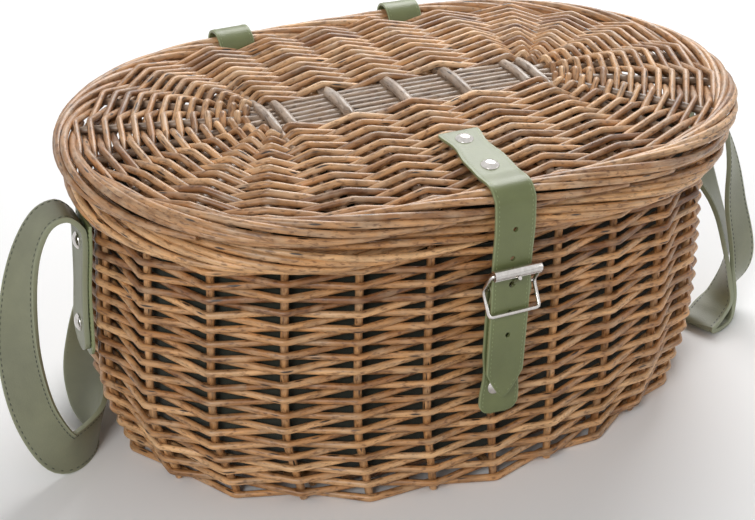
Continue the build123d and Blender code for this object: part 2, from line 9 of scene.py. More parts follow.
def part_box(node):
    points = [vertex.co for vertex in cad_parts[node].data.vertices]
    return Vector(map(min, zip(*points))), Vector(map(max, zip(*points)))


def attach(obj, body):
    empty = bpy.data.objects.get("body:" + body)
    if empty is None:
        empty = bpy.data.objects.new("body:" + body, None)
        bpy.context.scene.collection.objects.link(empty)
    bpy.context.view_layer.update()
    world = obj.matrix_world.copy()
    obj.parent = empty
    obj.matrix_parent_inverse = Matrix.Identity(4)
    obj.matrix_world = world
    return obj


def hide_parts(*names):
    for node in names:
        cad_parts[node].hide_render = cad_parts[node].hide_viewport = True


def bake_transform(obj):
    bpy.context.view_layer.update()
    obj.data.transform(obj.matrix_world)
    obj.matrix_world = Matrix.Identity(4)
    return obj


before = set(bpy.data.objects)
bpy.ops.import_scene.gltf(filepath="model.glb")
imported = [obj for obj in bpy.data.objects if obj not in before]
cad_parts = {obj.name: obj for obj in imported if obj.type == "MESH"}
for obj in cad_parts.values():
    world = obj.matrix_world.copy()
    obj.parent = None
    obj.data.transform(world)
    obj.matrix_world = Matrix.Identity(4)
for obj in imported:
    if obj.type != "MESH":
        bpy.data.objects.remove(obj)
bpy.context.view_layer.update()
mm = 0.001
chance = random.Random(11)
print("frame loaded:", len(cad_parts), "nodes")

# the basket's plan and levels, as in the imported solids, in millimetres
plan = {
    "stakes": 24,
    "stakeDrift": 0.0121,  # the stakes stand a little closer on one side, as a share of the way round
    "reach": 10.7,  # of a border's rods round its line
    "lidLine": (239.3, 159.3, 157.3),
    "lidLevel": 223.1,
    "rimLine": (234.3, 154.3, 152.3),
    "rimLevel": 201.3,
    "panelLevel": 224.1,
    "domeRise": 8.5,
    "wallLevels": (  # height, shift along X, half length, half width, end radius
        (0.0, 0.0, 214.8, 149.6, 117.0),
        (55.0, -4.0, 229.6, 150.4, 137.2),
        (106.0, -3.7, 228.5, 150.0, 138.0),
        (170.0, -2.2, 225.5, 149.9, 138.5),
        (212.0, -2.0, 223.5, 149.9, 138.5),
    ),
    "wallBlend": 31,  # millimetres of height over which the levels run into each other
}


# places on the ovals


def sideRadius(halfLength, halfWidth, endRadius):
    reach = halfLength - endRadius
    return (reach ** 2 + halfWidth ** 2 - endRadius ** 2) / (2 * (halfWidth - endRadius))


def ovalPoint(share, halfLength, halfWidth, endRadius):
    side = sideRadius(halfLength, halfWidth, endRadius)
    endTurn = atan2(side - halfWidth, halfLength - endRadius)
    sideRun, endRun = side * (pi / 2 - endTurn), endRadius * endTurn
    quarter, along = divmod((share % 1) * 4, 1)
    run = along * (sideRun + endRun)
    if quarter in (1, 3):
        run = sideRun + endRun - run
    if run < sideRun:
        angle = pi / 2 - run / side
        x, y = side * cos(angle), halfWidth - side + side * sin(angle)
    else:
        angle = endTurn - (run - sideRun) / endRadius
        x, y = halfLength - endRadius + endRadius * cos(angle), endRadius * sin(angle)
    sx, sy = ((1, -1), (1, 1), (-1, 1), (-1, -1))[int(quarter)]
    return Vector((sx * x, sy * y, 0)), Vector((sx * cos(angle), sy * sin(angle), 0))


def ovalReach(start, angle, halfLength, halfWidth, endRadius):
    side = sideRadius(halfLength, halfWidth, endRadius)
    endX, sideY = halfLength - endRadius, side - halfWidth
    near, far = 0.0, 2 * halfLength
    for _ in range(40):
        middle = (near + far) / 2
        x = abs(start[0] + middle * cos(radians(angle)))
        y = abs(start[1] + middle * sin(radians(angle)))
        if atan2(y, x - endX) < atan2(sideY, endX):
            outside = hypot(x - endX, y) > endRadius
        else:
            outside = hypot(x, y + sideY) > side
        near, far = (near, middle) if outside else (middle, far)
    return near


def wallShape():
    # one row of shift, half length, half width and end radius for each millimetre of height
    levels = np.array(plan["wallLevels"])
    spare = plan["wallBlend"] // 2
    heights = np.arange(-spare, int(levels[-1, 0]) + spare + 1)
    kernel = np.ones(plan["wallBlend"]) / plan["wallBlend"]
    rows = [np.interp(heights, levels[:, 0], levels[:, k]) for k in range(1, levels.shape[1])]
    return np.stack([np.convolve(row, kernel, "valid") for row in rows], 1)


wallRows = wallShape()


def stakeShare(stake):
    # how far round the basket a stake stands, from 0 to 1
    turn = stake / plan["stakes"]
    return turn - plan["stakeDrift"] * sin(2 * pi * turn)


def wallPoint(stake, height, offset):
    row = [float(np.interp(height, np.arange(len(wallRows)), wallRows[:, k])) for k in range(4)]
    point, outward = ovalPoint(stakeShare(stake), *row[1:])
    return point + outward * offset + Vector((row[0], 0, height))


def shrunk(line, by):
    return tuple(size - by for size in line)


def domed(points):
    # the lid's panel rises a little towards its middle
    length, width, _ = plan["lidLine"]
    lift = [plan["domeRise"] * max(0.0, 1 - (p.x / length) ** 2 - (p.y / width) ** 2) for p in points]
    return [p + Vector((0, 0, up)) for p, up in zip(points, lift)]


# materials


def newMaterial(name):
    material = bpy.data.materials.new(name)
    material.use_nodes = True
    tree = material.node_tree
    return material, tree, tree.nodes["Principled BSDF"]


def addNode(tree, kind, feeds=(), **values):
    # feeds: (node, its output, the input here)
    node = tree.nodes.new("ShaderNode" + kind)
    for key, value in values.items():
        if hasattr(node, key):
            setattr(node, key, value)
        else:
            node.inputs[key].default_value = value
    for source, output, target in feeds:
        tree.links.new(source.outputs[output], node.inputs[target])
    return node


def makeRamp(tree, source, output, stops):
    ramp = addNode(tree, "ValToRGB", [(source, output, "Fac")])
    elements = ramp.color_ramp.elements
    while len(elements) < len(stops):
        elements.new(0.5)
    for element, (place, colour) in zip(elements, stops):
        element.position = place
        element.color = (*colour, 1)
    return ramp.outputs["Color"]


def mixColours(tree, kind, amount, first, second):
    mix = addNode(tree, "Mix", data_type="RGBA", blend_type=kind)
    if isinstance(amount, (int, float)):
        mix.inputs["Factor"].default_value = amount
    else:
        tree.links.new(amount, mix.inputs["Factor"])
    for socket, value in (("A", first), ("B", second)):
        target = [s for s in mix.inputs if s.name == socket and s.type == "RGBA"][0]
        if isinstance(value, tuple):
            target.default_value = (*value, 1)
        else:
            tree.links.new(value, target)
    return [s for s in mix.outputs if s.type == "RGBA"][0]


def finishLook(look, colour, relief, values):
    # relief: (node, its output, strength, distance)
    material, tree, shader = look
    source, output, strength, distance = relief
    bump = addNode(tree, "Bump", [(source, output, "Height")], Strength=strength, Distance=distance)
    tree.links.new(bump.outputs["Normal"], shader.inputs["Normal"])
    tree.links.new(colour, shader.inputs["Base Color"])
    for key, value in values.items():
        shader.inputs[key].default_value = value
    return material


def barkMaterial(name, tones, weathered, roughness):
    # tones: from the darkest rod to the palest; weathered: grey bloom on the bark
    look = newMaterial(name)
    tree = look[1]
    place = addNode(tree, "Attribute", attribute_name="barkPlace")
    shade = addNode(tree, "Attribute", attribute_name="rodShade")

    def pattern(kind, along, across, **values):
        scaled = addNode(tree, "Mapping", [(place, "Vector", "Vector")], Scale=(along, across, across))
        return addNode(tree, kind, [(scaled, "Vector", "Vector")], Scale=1.0, **values)

    base = makeRamp(tree, shade, "Fac", [(i / (len(tones) - 1), tone) for i, tone in enumerate(tones)])
    fibre = pattern("TexNoise", 46, 300, Detail=4.0, Roughness=0.62)
    fibreStops = [(0.3, (0.3, 0.24, 0.19)), (0.5, (0.92, 0.89, 0.86)), (0.7, (1.4, 1.36, 1.3))]
    colour = mixColours(tree, "MULTIPLY", 0.85, base, makeRamp(tree, fibre, "Fac", fibreStops))
    patch = addNode(tree, "TexNoise", [(place, "Vector", "Vector")], Scale=38.0, Detail=3.0, Roughness=0.6)
    bloom = makeRamp(tree, patch, "Fac", [(0.47, (0, 0, 0)), (0.66, (1, 1, 1))])
    bloomed = mixColours(tree, "MIX", bloom, colour, weathered)
    halfway = mixColours(tree, "MIX", 0.45, colour, bloomed)
    bud = pattern("TexVoronoi", 34, 210)
    budDark = makeRamp(tree, bud, "Distance", [(0.1, (1, 1, 1)), (0.17, (0, 0, 0))])
    marked = mixColours(tree, "MIX", budDark, halfway, (0.035, 0.018, 0.009))
    speck = pattern("TexNoise", 190, 480, Detail=2.0, Roughness=0.55)
    speckTone = makeRamp(tree, speck, "Fac", [(0.32, (0.34, 0.26, 0.2)), (0.46, (1, 1, 1))])
    speckled = mixColours(tree, "MULTIPLY", 0.8, marked, speckTone)
    values = {"Roughness": roughness, "Specular IOR Level": 0.55}
    return finishLook(look, speckled, (fibre, "Fac", 0.55, 0.0005), values)


def leatherMaterial(name, face, worn, roughness):
    look = newMaterial(name)
    tree = look[1]
    feeds = [(addNode(tree, "TexCoord"), "Object", "Vector")]
    grain = addNode(tree, "TexVoronoi", feeds, Scale=820.0)
    cloud = addNode(tree, "TexNoise", feeds, Scale=26.0, Detail=5.0, Roughness=0.6)
    tone = makeRamp(tree, cloud, "Fac", [(0.32, (0.86, 0.86, 0.86)), (0.7, (1.12, 1.12, 1.1))])
    colour = mixColours(tree, "MULTIPLY", 1.0, face, tone)
    edge = addNode(tree, "Attribute", attribute_name="leatherEdge")
    rubbed = mixColours(tree, "MIX", edge.outputs["Fac"], colour, worn)
    fine = addNode(tree, "TexNoise", feeds, Scale=2400.0, Detail=2.0)
    height = addNode(tree, "Math", [(grain, "Distance", 0), (fine, "Fac", 2)], operation="MULTIPLY_ADD")
    height.inputs[1].default_value = 0.7
    values = {"Roughness": roughness, "Specular IOR Level": 0.5}
    return finishLook(look, rubbed, (height, "Value", 0.22, 0.0003), values)


def nickelMaterial():
    look = newMaterial("nickel")
    tree, shader = look[1:]
    wear = addNode(
        tree, "TexNoise", [(addNode(tree, "TexCoord"), "Object", "Vector")], Scale=320.0, Detail=4.0
    )
    tone = makeRamp(tree, wear, "Fac", [(0.35, (0.56, 0.53, 0.5)), (0.65, (0.66, 0.63, 0.6))])
    rough = makeRamp(tree, wear, "Fac", [(0.3, (0.15, 0.15, 0.15)), (0.7, (0.22, 0.22, 0.22))])
    tree.links.new(rough, shader.inputs["Roughness"])
    return finishLook(look, tone, (wear, "Fac", 0.03, 0.0001), {"Metallic": 1.0})


def clothMaterial():
    look = newMaterial("liningCloth")
    tree = look[1]
    feeds = [(addNode(tree, "TexCoord"), "UV", "Vector")]
    warp, weft = (
        addNode(tree, "TexWave", feeds, bands_direction=axis, Scale=420.0, Distortion=1.2, Detail=2.0)
        for axis in ("X", "Y")
    )
    cross = addNode(tree, "Math", [(warp, "Fac", 0), (weft, "Fac", 1)], operation="MAXIMUM")
    # the lining's own dark grey-green, set darker still so the gaps between the rods look deep: partly
    # painted shade
    tone = makeRamp(tree, cross, "Value", [(0.2, (0.011, 0.013, 0.007)), (0.9, (0.04, 0.046, 0.029))])
    values = {"Roughness": 0.88, "Sheen Weight": 0.25}
    return finishLook(look, tone, (cross, "Value", 0.5, 0.0004), values)


willow = barkMaterial(
    "willow", [(0.2, 0.08, 0.025), (0.38, 0.18, 0.065), (0.56, 0.3, 0.125), (0.74, 0.45, 0.22)],
    (0.62, 0.43, 0.26), 0.4,
)
# the lid's willow: paler and greyer than the wall's, partly its own tone and partly painted sheen from the
# light overhead
lidWillowAndSheen = barkMaterial(
    "lidWillowAndSheen", [(0.25, 0.115, 0.045), (0.44, 0.23, 0.1), (0.6, 0.35, 0.17), (0.74, 0.48, 0.27)],
    (0.64, 0.48, 0.33), 0.38,
)
greyWillow = barkMaterial(
    "greyWillow", [(0.24, 0.155, 0.095), (0.31, 0.215, 0.145), (0.39, 0.285, 0.205)],
    (0.46, 0.39, 0.32), 0.38,
)
peeledWillow = barkMaterial(
    "peeledWillow", [(0.25, 0.145, 0.075), (0.36, 0.26, 0.185), (0.47, 0.375, 0.3)],
    (0.56, 0.5, 0.44), 0.34,
)
leather = leatherMaterial("greenLeather", (0.15, 0.172, 0.068), (0.27, 0.31, 0.16), 0.36)
strapLeather = leatherMaterial("strapLeather", (0.2, 0.205, 0.13), (0.3, 0.32, 0.21), 0.42)
strapInside = leatherMaterial("strapInside", (0.19, 0.2, 0.185), (0.3, 0.32, 0.24), 0.5)
threadGreen = leatherMaterial("threadGreen", (0.26, 0.3, 0.14), (0.26, 0.3, 0.14), 0.6)
threadDark = leatherMaterial("threadDark", (0.05, 0.06, 0.045), (0.05, 0.06, 0.045), 0.6)
nickel = nickelMaterial()
cloth = clothMaterial()
print("materials made")


# rods: one curve of many splines, made a mesh


def setMode(mode):
    bpy.ops.object.mode_set(mode=mode)


def selectOnly(*pieces):
    bpy.ops.object.select_all(action="DESELECT")
    for piece in pieces:
        piece.select_set(True)
    bpy.context.view_layer.objects.active = pieces[0]


def smoothUnder(degrees):
    bpy.ops.object.shade_smooth_by_angle(angle=radians(degrees))


def applyModifier(piece, kind, **values):
    step = piece.modifiers.new(kind.lower(), kind)
    for key, value in values.items():
        setattr(step, key, value)
    bpy.ops.object.modifier_apply(modifier=step.name)


def faceOutwards(join=0.0, ends=0):
    # join: how near in metres two corners are made one; ends: corners of an open end, to close it
    setMode("EDIT")
    bpy.ops.mesh.select_all(action="SELECT")
    if join:
        bpy.ops.mesh.remove_doubles(threshold=join)
    if ends:
        bpy.ops.mesh.fill_holes(sides=ends)
    bpy.ops.mesh.normals_make_consistent(inside=False)
    setMode("OBJECT")


def softBends(corners, closed, soft, wander=0.0, middles=1):
    # each corner becomes a short bend, each run gets points that wander a little
    points, count = [], len(corners)
    for i, corner in enumerate(corners):
        before = corners[i - 1] if closed or i else None
        after = corners[(i + 1) % count] if closed or i < count - 1 else None
        if before is not None and after is not None:
            back, on = (before - corner).normalized(), (after - corner).normalized()
            points += [corner + back * soft, corner + (back + on) * soft * 0.27, corner + on * soft]
        else:
            points.append(corner.copy())
        if after is not None:
            for k in range(middles):
                shift = Vector([chance.uniform(-1, 1) for _ in range(3)]) * wander
                points.append(corner.lerp(after, (k + 1) / (middles + 1)) + shift)
    return points


def markPoints(piece, name, values, kind="FLOAT", field="value"):
    mark = piece.data.attributes.new(name, kind, "POINT")
    mark.data.foreach_set(field, values.astype(np.float32).ravel())


def layRods(name, rods, body, material, cadNodes, sides=8):
    # rods: (points in mm, radii in mm, closed, shade 0 to 1 for the rod or for each point)
    bpy.ops.curve.primitive_nurbs_path_add(location=(0, 0, 0))
    data = bpy.context.object.data
    data.splines.clear()
    data.bevel_depth = 1.0
    data.bevel_resolution = (sides - 4) // 2
    data.use_fill_caps = False
    data.twist_mode = "MINIMUM"
    places, shades = [], []
    turns = np.arange(sides) / sides * 2 * pi
    for points, radii, closed, shade in rods:
        if closed:  # a round starts and ends between two bends
            cut = chance.randrange(len(points) // 4) * 4 + 3
            points = points[cut:] + points[:cut + 1]
            radii = radii[cut:] + radii[:cut + 1]
        shade = shade if isinstance(shade, list) else [shade] * len(points)
        spline = data.splines.new("POLY")
        spline.points.add(len(points) - 1)
        spline.points.foreach_set("co", [c for p in points for c in (*(p * mm), 1)])
        spline.points.foreach_set("radius", [r * mm for r in radii])
        run = chance.uniform(0, 40)
        for i, (p, r) in enumerate(zip(points, radii)):
            if i:
                run += (p - points[i - 1]).length * mm
            places.append(np.stack([np.full(sides, run), np.cos(turns) * r * mm, np.sin(turns) * r * mm], 1))
        shades.append(np.repeat(shade, sides))
    bpy.ops.object.convert(target="MESH")
    piece = bpy.context.object
    markPoints(piece, "barkPlace", np.concatenate(places), "FLOAT_VECTOR", "vector")
    markPoints(piece, "rodShade", np.concatenate(shades))
    faceOutwards(ends=sides)
    smoothUnder(60)
    finishPiece(piece, name, body, material, cadNodes)


def finishPiece(piece, name, body, material, cadNodes):
    piece.name = piece.data.name = name
    piece.data.materials.clear()
    for one in material if isinstance(material, list) else [material]:
        piece.data.materials.append(one)
    if body:
        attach(piece, body)
    if cadNodes:
        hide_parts(*cadNodes)
    triangles = sum(len(p.vertices) - 2 for p in piece.data.polygons)
    print(f"{piece.name}: {triangles} triangles")
    return piece


# the wall

wallRods = {
    "courses": 34,
    "lowest": 2.7,
    "highest": 189.6,
    "closer": 0.03,  # the courses lie closer towards the rim
    "rod": 2.45,  # radius
    "taper": 0.34,  # a rod's butt is this much thicker than its tip
    "shade": (0.52, 0.26),  # mean and spread
    "uneven": 0.35,  # of a course's height from stake to stake
    "stake": 2.9,
    "stakeStops": (1.2, 28, 55, 85, 115, 145, 170, 188),
    "stakeTop": 198,  # inside the border, this far up
    "soft": 2.2,
    "wander": 0.4,
}


def roundRod(points, settings):
    # its butt meets its own tip somewhere on the way
    start = chance.random()
    radii = []
    for k in range(len(points)):
        thick = settings["rod"] + settings["taper"] * (0.5 - (k / len(points) + start) % 1)
        radii.append(thick * chance.uniform(0.96, 1.04))
    return points, radii, True, min(1, max(0, chance.gauss(*settings["shade"])))


def weaveWall(settings):
    swing = settings["stake"] + settings["rod"] + 0.1
    low, high = settings["lowest"], settings["highest"]
    rods = []
    for n in range(settings["courses"]):
        t = n / (settings["courses"] - 1)
        level = low + (high - low) * (t + settings["closer"] * sin(pi * t))
        corners = []
        for i in range(plan["stakes"]):
            uneven = chance.uniform(-settings["uneven"], settings["uneven"])
            height = max(low, level + uneven * (n > 0))
            corners.append(wallPoint(i, height, swing * (-1) ** (i + n)))
        points = softBends(corners, True, settings["soft"], settings["wander"] * (n > 0))
        rods.append(roundRod(points, settings))
    layRods("wallWeave", rods, "basket", willow, ("side_weave", "foot_weave"))


def standStakes(settings):
    rods = []
    for i in range(plan["stakes"]):
        points = [wallPoint(i, z, chance.uniform(-0.15, 0.15)) for z in settings["stakeStops"]]
        under, _ = ovalPoint(stakeShare(i), *shrunk(plan["rimLine"], 5.0))
        points.append(points[-1].lerp(Vector((under.x, under.y, settings["stakeTop"])), 0.7))
        radii = [settings["stake"] * (1 - 0.05 * p.z / settings["highest"]) for p in points]
        rods.append((points, radii, False, chance.uniform(0.25, 0.75)))
    layRods("wallStakes", rods, "basket", willow, ("side_stakes",))


weaveWall(wallRods)
standStakes(wallRods)

# rolled borders

rimRolled = {
    "count": 34,
    "span": 0.25,  # of the way round
    "turn": (7.5, 7.9),  # across and up
    "shift": 0.0,
    "butt": 3.1,  # radii
    "tip": 2.2,
    "first": 238.0,  # degrees, inside and below
    "last": -110.0,
    "shades": (0.3, 1.0),
}
lidRolled = {
    **rimRolled,
    "count": 32,
    "span": 0.2,
    "turn": (6.2, 7.7),
    "shift": 1.3,
    "first": 188.0,
    "last": -84.0,
    "shades": (0.1, 0.85),
}


def rollBorder(name, line, level, body, cadNode, settings, material):
    rods, steps = [], 30
    across, up = settings["turn"]
    for i in range(settings["count"]):
        points, radii = [], []
        drift, lift = chance.uniform(-0.4, 0.2), chance.uniform(-6, 6)
        span = settings["span"] * chance.uniform(0.9, 1.08)
        place = (i + chance.uniform(-0.12, 0.12)) / settings["count"]
        last = settings["last"] + chance.uniform(-6, 20)
        for j in range(steps + 1):
            t = j / steps
            point, outward = ovalPoint(place + t * span, *line)
            roll = radians(settings["first"] + (last - settings["first"]) * t + lift)
            swell = 1 + drift * sin(pi * t) / across
            out = settings["shift"] + across * swell * cos(roll)
            points.append(point + outward * out + Vector((0, 0, level + up * swell * sin(roll))))
            thick = settings["butt"] + (settings["tip"] - settings["butt"]) * t
            radii.append(thick * (1 + chance.uniform(-0.03, 0.03)))
        rods.append((points, radii, False, chance.uniform(*settings["shades"])))
    layRods(name, rods, body, material, (cadNode,))


rollBorder("rimRods", plan["rimLine"], plan["rimLevel"], "basket", "rim_border", rimRolled, willow)
rollBorder("lidRods", plan["lidLine"], plan["lidLevel"], "lid", "lid_border", lidRolled, lidWillowAndSheen)

# the lid's panel

lidPanel = {
    "crossPlaces": (-103.5, -91.5, -50.5, -5.5, 40.0, 89.5, 101.5),
    "weaveAt": (-97.0, -50.5, -5.5, 40.0, 95.5),
    "doublePast": 80.0,  # the outer sticks stand in pairs, thinner
    "doubleThin": 0.84,
    "rise": (2.4, 3.2),  # of a stick over the long rods: in a pair, alone
    "slathRods": 7,
    "slathPitch": 6.9,
    "slathRadius": 2.8,
    "crossRadius": 4.0,
    "fanStart": 108.0,
    "fanStep": 22.5,
    "rounds": 24,
    "rod": 2.45,  # the weavers' radius
    "taper": 0.343,
    "shade": (0.5, 0.28),
    "swing": 5.9,
    "slathHalf": 21.7,
    "fanFirst": (9.5, 3.1),  # the first round's reach on the middle rib, and less for each rib beside it
    "edge": 2.5,
    "soft": 2.2,
}


def fanLines(settings):
    lines = []
    for m in range(settings["slathRods"]):
        place = m - (settings["slathRods"] - 1) / 2
        start = (settings["fanStart"], settings["slathPitch"] * place)
        first = settings["fanFirst"][0] - settings["fanFirst"][1] * abs(place)
        lines.append((start, settings["fanStep"] * place, first))
    return lines


def layCrossSticks(settings):
    line = shrunk(plan["lidLine"], settings["edge"])
    rods = []
    for x in settings["crossPlaces"]:
        double = abs(x) > settings["doublePast"]
        reach = ovalReach((x, 0), 90, *line)
        rise = settings["rise"][0 if double else 1]
        half = [(reach, 0), (60, 0), (30, 0.3), (19, rise)]
        heights = [(-y, z) for y, z in half] + [(0, rise + 1.3)] + half[::-1]
        corners = [Vector((x, y, plan["panelLevel"] + z)) for y, z in heights]
        points = domed(softBends(corners, False, 4.0, 0.15, 2))
        thick = settings["crossRadius"] * (settings["doubleThin"] if double else 1.0)
        radii = [thick * (0.8 if abs(p.y) > 32 else 1.0) for p in points]
        pale = chance.uniform(0.5, 1.0)
        # pale in the open middle; beyond it, where the sticks run under the weave, they take the darkest
        # tone: painted shade
        rods.append((points, radii, False, [pale if abs(p.y) < 27 else 0.1 for p in points]))
    layRods("lidCrossSticks", rods, "lid", peeledWillow, ("lid_cross_sticks",), 12)


def alongLine(start, angle, distance, height=0.0):
    turn = radians(angle)
    return Vector((start[0] + distance * cos(turn), start[1] + distance * sin(turn), height))


def layLongRods(settings):
    line = shrunk(plan["lidLine"], settings["edge"])
    level = plan["panelLevel"] - 1.0
    rods = []
    for start, angle, _ in fanLines(settings):
        tip = alongLine(start, angle, ovalReach(start, angle, *line))
        corners = [(-tip.x, tip.y), (-start[0], start[1]), start, (tip.x, tip.y)]
        points = domed(softBends([Vector((x, y, level)) for x, y in corners], False, 9.0, 0.4, 7))
        radii = [settings["slathRadius"] * chance.uniform(0.94, 1.06) for _ in points]
        rods.append((points, radii, False, chance.uniform(0, 1)))
    layRods("lidLongRods", rods, "lid", greyWillow, ("lid_long_rods",), 10)


def weaveLid(settings):
    panel = shrunk(plan["lidLine"], settings["edge"])
    fan, half = fanLines(settings), settings["slathHalf"]
    crossings = [((x, 0.0), -90.0, half) for x in settings["weaveAt"]]
    crossings += fan
    crossings += [((x, 0.0), 90.0, half) for x in reversed(settings["weaveAt"])]
    crossings += [((-start[0], start[1]), 180.0 - angle, first) for start, angle, first in reversed(fan)]
    rods = []
    for n in range(settings["rounds"]):
        corners = []
        for i, (start, angle, first) in enumerate(crossings):
            run = ovalReach(start, angle, *panel)
            distance = first + (run - first) * (n + 0.5) / settings["rounds"]
            height = plan["panelLevel"] + settings["swing"] * (-1) ** (i + n) + chance.uniform(-0.3, 0.3)
            corners.append(alongLine(start, angle, distance, height))
        points = domed(softBends(corners, True, settings["soft"], 0.4))
        rods.append(roundRod(points, settings))
    layRods("lidWeave", rods, "lid", lidWillowAndSheen, ("lid_weave",))


layCrossSticks(lidPanel)
layLongRods(lidPanel)
weaveLid(lidPanel)
print("willow laid")

# leather straps


def spaced(rows, count):
    # the same way in even steps, measured over its places
    run = np.concatenate([[0], np.cumsum(np.linalg.norm(np.diff(rows[:, :3], axis=0), axis=1))])
    even = np.linspace(0, run[-1], count)
    return np.stack([np.interp(even, run, column) for column in rows.T], 1), run[-1]


def smoothStops(values, count):
    # Catmull-Rom through the stops, spaced evenly along the way
    stops = np.array(values, float)
    ends = [2 * stops[0] - stops[1], *stops, 2 * stops[-1] - stops[-2]]
    fine = []
    for i in range(1, len(ends) - 2):
        a, b, c, d = ends[i - 1], ends[i], ends[i + 1], ends[i + 2]
        for t in np.linspace(0, 1, 24, endpoint=False):
            square, cube = 2 * a - 5 * b + 4 * c - d, 3 * b - a - 3 * c + d
            fine.append(0.5 * (2 * b + (c - a) * t + square * t ** 2 + cube * t ** 3))
    fine.append(stops[-1])
    return spaced(np.array(fine), count)


class Strip:
    # a strap's middle line in mm, with its width direction and its face all along
    def __init__(self, stops, count):
        sampled, self.length = smoothStops(stops, count)
        self.middle = sampled[:, :3]
        along = np.gradient(self.middle, axis=0)
        self.along = along / np.linalg.norm(along, axis=1)[:, None]
        across = sampled[:, 3:6]
        across = across - self.along * np.sum(across * self.along, axis=1)[:, None]
        self.across = across / np.linalg.norm(across, axis=1)[:, None]
        self.face = np.cross(self.across, self.along)
        self.count = count

    def at(self, share, sideways=0.0, out=0.0):
        places = np.atleast_1d(share) * (self.count - 1)
        index = np.arange(self.count)
        middle, across, face = (
            np.stack([np.interp(places, index, table[:, k]) for k in range(3)], 1)
            for table in (self.middle, self.across, self.face)
        )
        return middle + across * np.reshape(sideways, (-1, 1)) + face * np.reshape(out, (-1, 1))


def cutStrap(name, strip, half, body, cadNodes, thickness=None, material=None, groove=0.25, holes=()):
    # half: half width in mm at a share of the length; a grid is laid along the strip and made thick
    thickness, material = thickness or fittings["leather"], material or leather
    bpy.ops.mesh.primitive_grid_add(x_subdivisions=14, y_subdivisions=strip.count - 1, size=2, calc_uvs=True)
    piece = bpy.context.object
    flat = np.array([v.co for v in piece.data.vertices])
    share = (flat[:, 1] + 1) / 2
    side = np.sign(flat[:, 0]) * (1 - (1 - np.abs(flat[:, 0])) ** 1.25)
    halves = np.array([half(s) for s in share])
    fromEdge = (1 - np.abs(side)) * halves
    sink = -groove * np.exp(-(((fromEdge - fittings["stitchInset"]) / 0.9) ** 2))
    placed = strip.at(share, side * halves, sink) * mm
    piece.data.vertices.foreach_set("co", placed.astype(np.float32).ravel())
    uv = piece.data.uv_layers.active.data
    for loop in piece.data.loops:
        v = loop.vertex_index
        uv[loop.index].uv = (side[v] * halves[v] * mm, share[v] * strip.length * mm)
    markPoints(piece, "leatherEdge", np.clip(1 - fromEdge / 0.35, 0, 1))
    faceOutwards()
    layers = {"material_offset": 1, "material_offset_rim": 2} if isinstance(material, list) else {}
    applyModifier(piece, "SOLIDIFY", thickness=thickness * mm, offset=0, **layers)
    applyModifier(
        piece, "BEVEL", width=0.5 * mm, segments=2, limit_method="ANGLE", angle_limit=radians(55)
    )
    for place, radius in holes:
        bpy.ops.mesh.primitive_cylinder_add(vertices=20, radius=radius * mm, depth=14 * mm)
        cutter = bpy.context.object
        cutter.data.transform(place)
        selectOnly(piece)
        applyModifier(piece, "BOOLEAN", operation="DIFFERENCE", object=cutter, solver="EXACT")
        bpy.data.objects.remove(cutter)
    smoothUnder(40)
    return finishPiece(piece, name, body, material, cadNodes)


def sewEdges(name, strip, half, body, out, ends=(0, 1), faces=(1, -1), pitch=3.3, inset=None, thread=None):
    # a stitch every pitch along both edges, on one or both faces
    bpy.ops.mesh.primitive_uv_sphere_add(segments=6, ring_count=4, radius=1)
    model = bpy.context.object
    halfSizes = np.array((0.375, 0.34 * pitch, 0.3))
    base = np.array([v.co for v in model.data.vertices]) * halfSizes * mm
    shape = [list(p.vertices) for p in model.data.polygons]
    bpy.data.objects.remove(model)
    inset = inset or fittings["stitchInset"]
    (start, end), step = ends, 0.4 / strip.length
    total = int(strip.length * (end - start) / pitch)

    def seam(share, side, face):
        share = min(1, max(0, share))
        return strip.at(share, side * (half(share) - inset), out * face)[0]

    stitches = []
    for face in faces:
        for side in (-1, 1):
            for k in range(total + 1):
                share = start + (end - start) * (k + 0.5) / (total + 1)
                if half(share) - inset < 1.5:  # no room near a point
                    continue
                along = seam(share + step, side, face) - seam(share - step, side, face)
                along /= np.linalg.norm(along)
                across = np.cross(along, strip.at(share, 0, 1.0)[0] - strip.at(share, 0, 0)[0])
                across /= np.linalg.norm(across)
                turn = np.stack([across, along, np.cross(across, along)], 1)
                stitches.append(base @ turn.T + seam(share, side, face) * mm)
    polygons = [[v + b * len(base) for v in p] for b in range(len(stitches)) for p in shape]
    mesh = bpy.data.meshes.new(name)
    mesh.from_pydata(np.concatenate(stitches).tolist(), [], polygons)
    mesh.update()
    mesh.polygons.foreach_set("use_smooth", [True] * len(polygons))
    piece = bpy.data.objects.new(name, mesh)
    bpy.context.scene.collection.objects.link(piece)
    return finishPiece(piece, name, body, thread or threadGreen, ())


def waist(run, start, length, depth):
    return depth * sin(pi * min(1, max(0, (run - start) / length))) ** 2


def roundEnd(run, length, over, least):
    # a share of the width, over the last millimetres of a strap
    return sqrt(max(least, 1 - ((length - run) / over) ** 2))


# the closure strap, from the lid over its edge and down through the buckle

